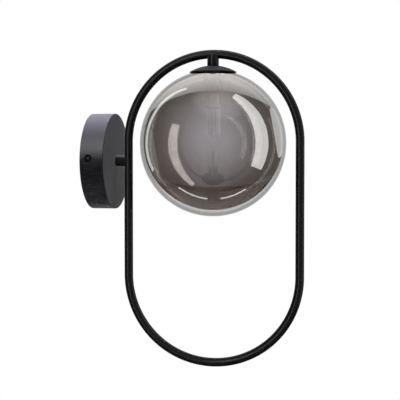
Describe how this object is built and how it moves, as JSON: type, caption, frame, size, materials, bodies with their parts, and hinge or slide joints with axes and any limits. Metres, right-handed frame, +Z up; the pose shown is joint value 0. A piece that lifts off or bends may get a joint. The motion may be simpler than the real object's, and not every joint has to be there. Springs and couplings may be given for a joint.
{
  "type": "globe wall sconce",
  "caption": "Wall light: a round canopy and short arm hold an upright stadium loop of black tube, and a smoke glass globe screws on under the top of the loop.",
  "frame": {"origin": "on the wall plane, on the canopy's axis, midway between the two wall slots", "axes": "+X out of the wall, +Z up, the tube loop lies in the plane Y = 0"},
  "size_m": [0.2218, 0.15, 0.326],
  "materials": {
    "powder_black": "satin black powder coat with a slight orange peel",
    "black_screw": "black nickel plated steel",
    "zinc_steel": "bright zinc plated steel",
    "tinned_copper": "tinned copper",
    "nylon_natural": "natural moulded nylon",
    "turned_brass": "turned brass",
    "contact_bronze": "spring bronze",
    "black_aluminium": "black anodised, turned",
    "steatite": "unglazed white steatite",
    "smoke_glass": "blown glass, half-mirrored smoke coating inside",
    "silicone_black": "black silicone",
    "bulb_plastic": "white moulded plastic",
    "pin_wire": "bright nickel wire",
    "phosphor": "yellow phosphor on a ceramic strip",
    "capsule_clear": "clear moulded capsule",
    "lead_brown": "brown lead insulation",
    "lead_blue": "blue lead insulation",
    "lead_green": "green lead insulation"
  },
  "bodies": {
    "fixture": {"wall_bracket": "zinc_steel", "canopy": "powder_black", "earth_screw": "zinc_steel", "earth_washer": "zinc_steel", "earth_lug": "tinned_copper", "terminal_housing": "nylon_natural", "terminal_barrels": "turned_brass", "terminal_screws": "zinc_steel", "terminal_fixing_screws": "zinc_steel", "arm_lock_washer": "zinc_steel", "arm_nut": "zinc_steel", "arm_nipple": "zinc_steel", "arm_sleeve": "powder_black", "nipple_bushes": "nylon_natural", "frame_tube": "powder_black", "stem_sleeve": "powder_black", "stem_nipple": "zinc_steel", "globe_cap": "powder_black", "thread_gallery": "black_aluminium", "holder_bracket": "zinc_steel", "stem_nut": "zinc_steel", "lamp_holder": "steatite", "holder_contacts": "contact_bronze", "holder_screws": "zinc_steel", "live_lead": "lead_brown", "neutral_lead": "lead_blue", "earth_lead": "lead_green"},
    "gasket": {"lip_gasket": "silicone_black"},
    "glass": {"globe": "smoke_glass"},
    "lamp": {"bulb_base": "bulb_plastic", "bulb_pins": "pin_wire", "bulb_core": "phosphor", "bulb_cover": "capsule_clear"},
    "front_screw": {"canopy_screw_front": "black_screw"},
    "rear_screw": {"canopy_screw_rear": "black_screw"}
  },
  "joints": [
    {"name": "globe_lower", "type": "slide", "parent": "fixture", "child": "gasket", "axis": [0, 0, -1], "range_m": [0, 0.006]},
    {"name": "globe_unscrew", "type": "hinge", "parent": "gasket", "child": "glass", "pos_m": [0.1275, 0, 0.0185], "axis": [0, 0, -1], "range_deg": [0, 540]},
    {"name": "lamp_pull", "type": "slide", "parent": "fixture", "child": "lamp", "axis": [0, 0, -1], "range_m": [0, 0.012]},
    {"name": "front_screw_out", "type": "slide", "parent": "fixture", "child": "front_screw", "axis": [0, -1, 0], "range_m": [0, 0.01]},
    {"name": "rear_screw_out", "type": "slide", "parent": "fixture", "child": "rear_screw", "axis": [0, 1, 0], "range_m": [0, 0.01]}
  ],
  "couplings": [
    {"joint": "globe_lower", "follows": "globe_unscrew", "m_per_rad": 0.0006366}
  ]
}
